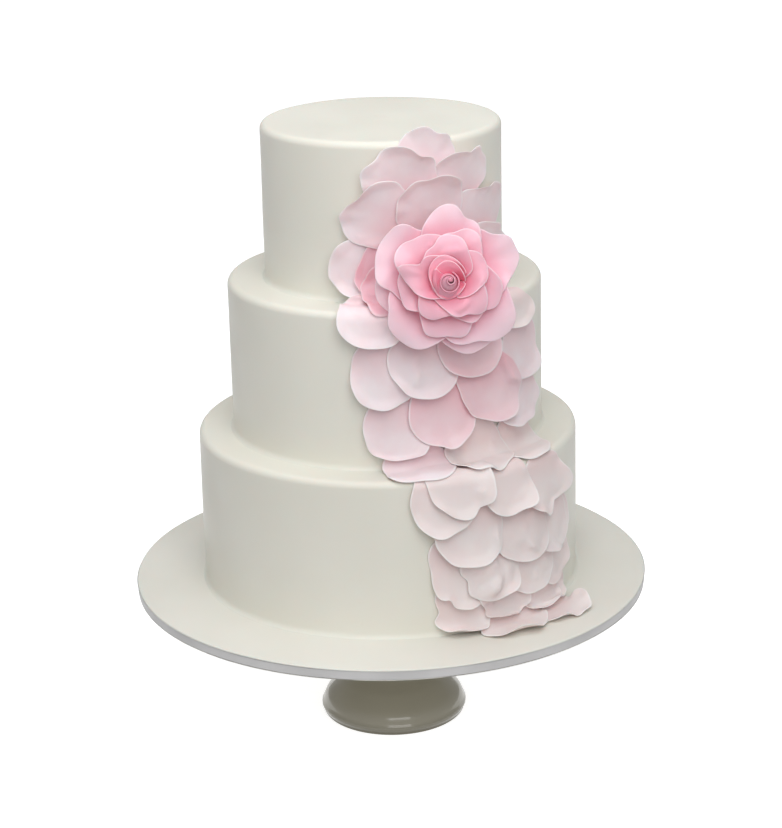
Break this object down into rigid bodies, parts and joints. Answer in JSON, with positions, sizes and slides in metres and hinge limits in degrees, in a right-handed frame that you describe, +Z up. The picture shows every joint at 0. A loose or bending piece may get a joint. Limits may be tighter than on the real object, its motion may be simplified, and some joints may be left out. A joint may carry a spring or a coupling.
{
  "type": "tiered wedding cake",
  "caption": "Round tiered wedding cake with a cascade of sugar petals and a sugar rose, on a ribboned board and a pedestal stand.",
  "frame": {"origin": "centre of the stand's foot, on the table", "axes": "+Z up the middle of the cake; -Y is the side the picture looks at, and +X is its right"},
  "size_m": [0.359, 0.359, 0.4402],
  "materials": {
    "sugar_paste": "smooth white sugar paste with a soft satin sheen",
    "petal_paste": "thin blush sugar paste, pinker at the root and paler at the edge",
    "rose_paste": "pink sugar paste, deepest in the heart of the rose",
    "ribbon": "silvery white satin ribbon",
    "ceramic": "glazed cream ceramic"
  },
  "bodies": {
    "root": {"stand": "ceramic", "board": "sugar_paste", "ribbon": "ribbon", "tier_bottom": "sugar_paste", "tier_middle": "sugar_paste", "tier_top": "sugar_paste", "rose": "rose_paste", "petal_bottom_1": "petal_paste", "petal_bottom_2": "petal_paste", "petal_bottom_3": "petal_paste", "petal_bottom_4": "petal_paste", "petal_bottom_5": "petal_paste", "petal_bottom_6": "petal_paste", "petal_bottom_7": "petal_paste", "petal_bottom_8": "petal_paste", "petal_bottom_9": "petal_paste", "petal_bottom_10": "petal_paste", "petal_bottom_11": "petal_paste", "petal_bottom_12": "petal_paste", "petal_bottom_13": "petal_paste", "petal_bottom_14": "petal_paste", "petal_bottom_15": "petal_paste", "petal_bottom_16": "petal_paste", "petal_middle_0": "petal_paste", "petal_middle_1": "petal_paste", "petal_middle_2": "petal_paste", "petal_middle_3": "petal_paste", "petal_middle_4": "petal_paste", "petal_middle_5": "petal_paste", "petal_middle_6": "petal_paste", "petal_middle_7": "petal_paste", "petal_middle_8": "petal_paste", "petal_middle_9": "petal_paste", "petal_middle_10": "petal_paste", "petal_middle_11": "petal_paste", "petal_middle_12": "petal_paste", "petal_top_1": "petal_paste", "petal_top_2": "petal_paste", "petal_top_3": "petal_paste", "petal_top_4": "petal_paste", "petal_top_5": "petal_paste", "petal_top_6": "petal_paste", "petal_top_7": "petal_paste", "petal_top_8": "petal_paste", "petal_top_9": "petal_paste", "petal_top_10": "petal_paste", "petal_board_1": "petal_paste", "petal_board_2": "petal_paste"}
  },
  "joints": []
}
